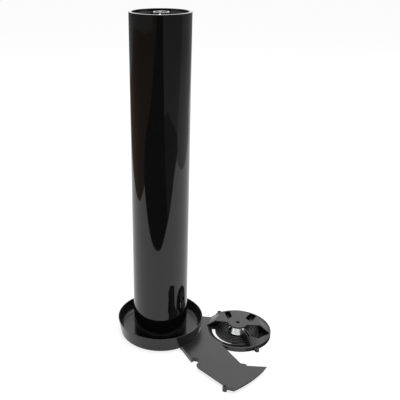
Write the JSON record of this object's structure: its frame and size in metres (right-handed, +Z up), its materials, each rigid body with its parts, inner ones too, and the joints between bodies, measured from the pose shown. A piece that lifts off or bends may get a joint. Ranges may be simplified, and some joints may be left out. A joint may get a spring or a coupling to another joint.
{
  "type": "spin cast feeder",
  "caption": "Knocked-down spin cast feeder: a tall hopper tube with a recessed lid stands in a round pan, beside a motor-driven spinner head with a flat chute plate.",
  "frame": {"origin": "middle of the pan's underside, on the floor and on the axis of the hopper tube", "axes": "+Z up along the hopper tube, +X towards the spinner head's side"},
  "size_m": [0.3163, 0.2952, 0.6432],
  "materials": {
    "gloss_black_pipe": "polished extruded tube",
    "gloss_black_lid": "glossy moulding",
    "black_rubber": "matt",
    "bright_wire": "bright plated",
    "pan_black": "satin moulding",
    "head_black": "fine spark-eroded texture",
    "spinner_black": "satin moulding",
    "plated_can": "bright zinc plate",
    "black_screw": "black oxide",
    "motor_plastic": "matt moulding",
    "shaft_steel": "ground",
    "core_steel": "stacked sheet",
    "bronze": "sintered",
    "tab_brass": "stamped",
    "copper": "enamelled wire",
    "ferrite": "sintered",
    "carbon": "pressed",
    "washer_nylon": "natural"
  },
  "bodies": {
    "pan": {"feed_pan": "pan_black"},
    "hopper": {"hopper_tube": "gloss_black_pipe", "lid_seat": "gloss_black_pipe"},
    "lid": {"lid_plug": "gloss_black_lid", "lid_seal": "black_rubber", "ring_keeper": "bright_wire", "keeper_rivets": "bright_wire"},
    "ring": {"lift_ring": "bright_wire"},
    "head": {"head_cover": "head_black", "motor_can": "plated_can", "motor_end_plate": "motor_plastic", "motor_magnets": "ferrite", "upper_bush": "bronze", "lower_bush": "bronze", "brushes": "carbon", "terminal_tabs": "tab_brass", "motor_screws": "black_screw"},
    "spinner": {"motor_shaft": "shaft_steel", "armature_core": "core_steel", "armature_coils": "copper", "commutator": "copper", "thrust_washers": "washer_nylon", "spinner_disc": "spinner_black", "spinner_screw": "shaft_steel"}
  },
  "joints": [
    {"name": "hopper_lift", "type": "slide", "parent": "pan", "child": "hopper", "axis": [0, 0, 1], "range_m": [0, 0.12]},
    {"name": "lid_lift", "type": "slide", "parent": "hopper", "child": "lid", "axis": [0, 0, 1], "range_m": [0, 0.1]},
    {"name": "ring_swing", "type": "hinge", "parent": "lid", "child": "ring", "pos_m": [-0.00049, -0.00347, 0.64039], "axis": [0.9903, -0.1392, 0], "range_deg": [0, 150]},
    {"name": "head_pull", "type": "slide", "parent": "pan", "child": "head", "axis": [1, 0, 0], "range_m": [0, 0.12]},
    {"name": "spinner_spin", "type": "hinge", "parent": "head", "child": "spinner", "pos_m": [0.16037, -0.01516, 0.01], "axis": [0, 0, 1], "continuous": true}
  ]
}
